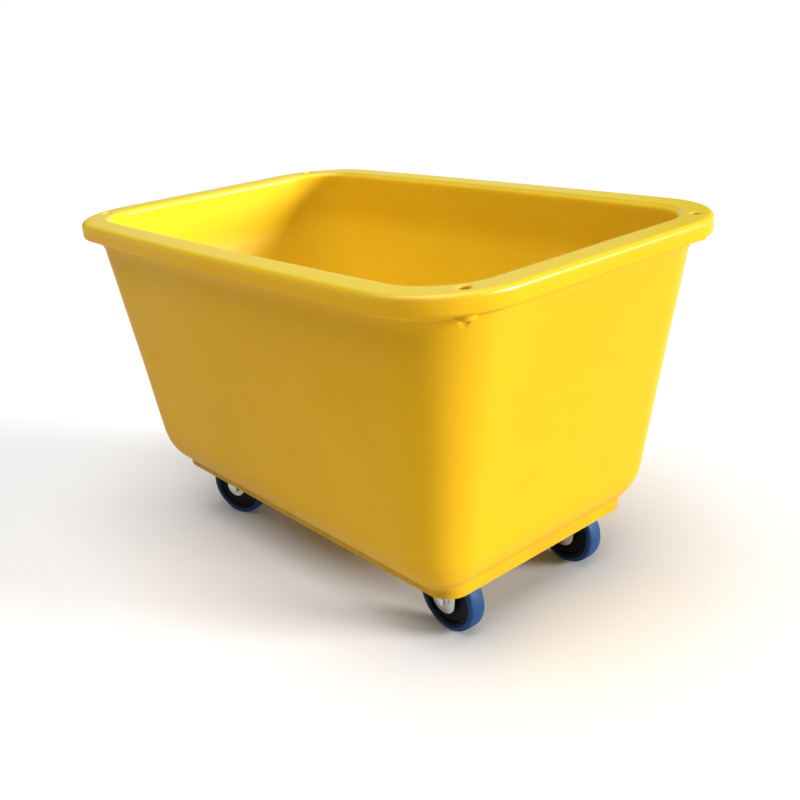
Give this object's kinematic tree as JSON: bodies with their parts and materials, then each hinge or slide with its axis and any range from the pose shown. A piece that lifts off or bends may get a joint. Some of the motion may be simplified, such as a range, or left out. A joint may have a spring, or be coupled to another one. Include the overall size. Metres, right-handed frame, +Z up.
{
  "type": "laundry cart",
  "caption": "Tapered rounded laundry tub cart in moulded plastic with a thick rim and recessed base skirt, rolling on rigid and swivelling plate casters with coloured treads.",
  "frame": {"origin": "on the ground under the middle of the cart", "axes": "+X along the length towards the rigid casters, +Y to the left side, +Z up"},
  "size_m": [1.1, 0.69, 0.633],
  "materials": {
    "yellow_polyethylene": "satin rotationally moulded polyethylene",
    "blue_rubber": "matt moulded rubber tread",
    "black_plastic": "moulded nylon wheel centre",
    "zinc_plate": "bright zinc-plated pressed steel",
    "bright_steel": "bright turned steel"
  },
  "bodies": {
    "tub": {"front_left_axle_bolt": "bright_steel", "front_left_axle_nut": "bright_steel", "front_left_axle_sleeve": "bright_steel", "front_left_floor_bolt_1": "zinc_plate", "front_left_floor_bolt_2": "zinc_plate", "front_left_floor_bolt_3": "zinc_plate", "front_left_floor_bolt_4": "zinc_plate", "front_left_rigid_fork": "zinc_plate", "front_right_axle_bolt": "bright_steel", "front_right_axle_nut": "bright_steel", "front_right_axle_sleeve": "bright_steel", "front_right_floor_bolt_1": "zinc_plate", "front_right_floor_bolt_2": "zinc_plate", "front_right_floor_bolt_3": "zinc_plate", "front_right_floor_bolt_4": "zinc_plate", "front_right_rigid_fork": "zinc_plate", "rear_left_floor_bolt_1": "zinc_plate", "rear_left_floor_bolt_2": "zinc_plate", "rear_left_floor_bolt_3": "zinc_plate", "rear_left_floor_bolt_4": "zinc_plate", "rear_left_king_pin": "bright_steel", "rear_left_swivel_race": "zinc_plate", "rear_left_top_plate": "zinc_plate", "rear_right_floor_bolt_1": "zinc_plate", "rear_right_floor_bolt_2": "zinc_plate", "rear_right_floor_bolt_3": "zinc_plate", "rear_right_floor_bolt_4": "zinc_plate", "rear_right_king_pin": "bright_steel", "rear_right_swivel_race": "zinc_plate", "rear_right_top_plate": "zinc_plate", "tub": "yellow_polyethylene"},
    "front_left_wheel": {"front_left_tread": "blue_rubber", "front_left_wheel_core": "black_plastic"},
    "front_right_wheel": {"front_right_tread": "blue_rubber", "front_right_wheel_core": "black_plastic"},
    "rear_left_swivel": {"rear_left_axle_bolt": "bright_steel", "rear_left_axle_nut": "bright_steel", "rear_left_axle_sleeve": "bright_steel", "rear_left_swivel_fork": "zinc_plate"},
    "rear_left_wheel": {"rear_left_tread": "blue_rubber", "rear_left_wheel_core": "black_plastic"},
    "rear_right_swivel": {"rear_right_axle_bolt": "bright_steel", "rear_right_axle_nut": "bright_steel", "rear_right_axle_sleeve": "bright_steel", "rear_right_swivel_fork": "zinc_plate"},
    "rear_right_wheel": {"rear_right_tread": "blue_rubber", "rear_right_wheel_core": "black_plastic"}
  },
  "joints": [
    {"name": "front_right_wheel_spin", "type": "hinge", "parent": "tub", "child": "front_right_wheel", "pos_m": [0.333, -0.147, 0.0625], "axis": [0, 1, 0], "continuous": true},
    {"name": "front_left_wheel_spin", "type": "hinge", "parent": "tub", "child": "front_left_wheel", "pos_m": [0.333, 0.147, 0.0625], "axis": [0, 1, 0], "continuous": true},
    {"name": "rear_right_swivel_turn", "type": "hinge", "parent": "tub", "child": "rear_right_swivel", "pos_m": [-0.278, -0.1475, 0.1335], "axis": [0, 0, 1], "continuous": true},
    {"name": "rear_right_wheel_spin", "type": "hinge", "parent": "rear_right_swivel", "child": "rear_right_wheel", "pos_m": [-0.29892, -0.1543, 0.0625], "axis": [-0.309, 0.9511, 0], "continuous": true},
    {"name": "rear_left_swivel_turn", "type": "hinge", "parent": "tub", "child": "rear_left_swivel", "pos_m": [-0.278, 0.1475, 0.1335], "axis": [0, 0, 1], "continuous": true},
    {"name": "rear_left_wheel_spin", "type": "hinge", "parent": "rear_left_swivel", "child": "rear_left_wheel", "pos_m": [-0.29995, 0.14597, 0.0625], "axis": [-0.0698, 0.9976, 0], "continuous": true}
  ]
}
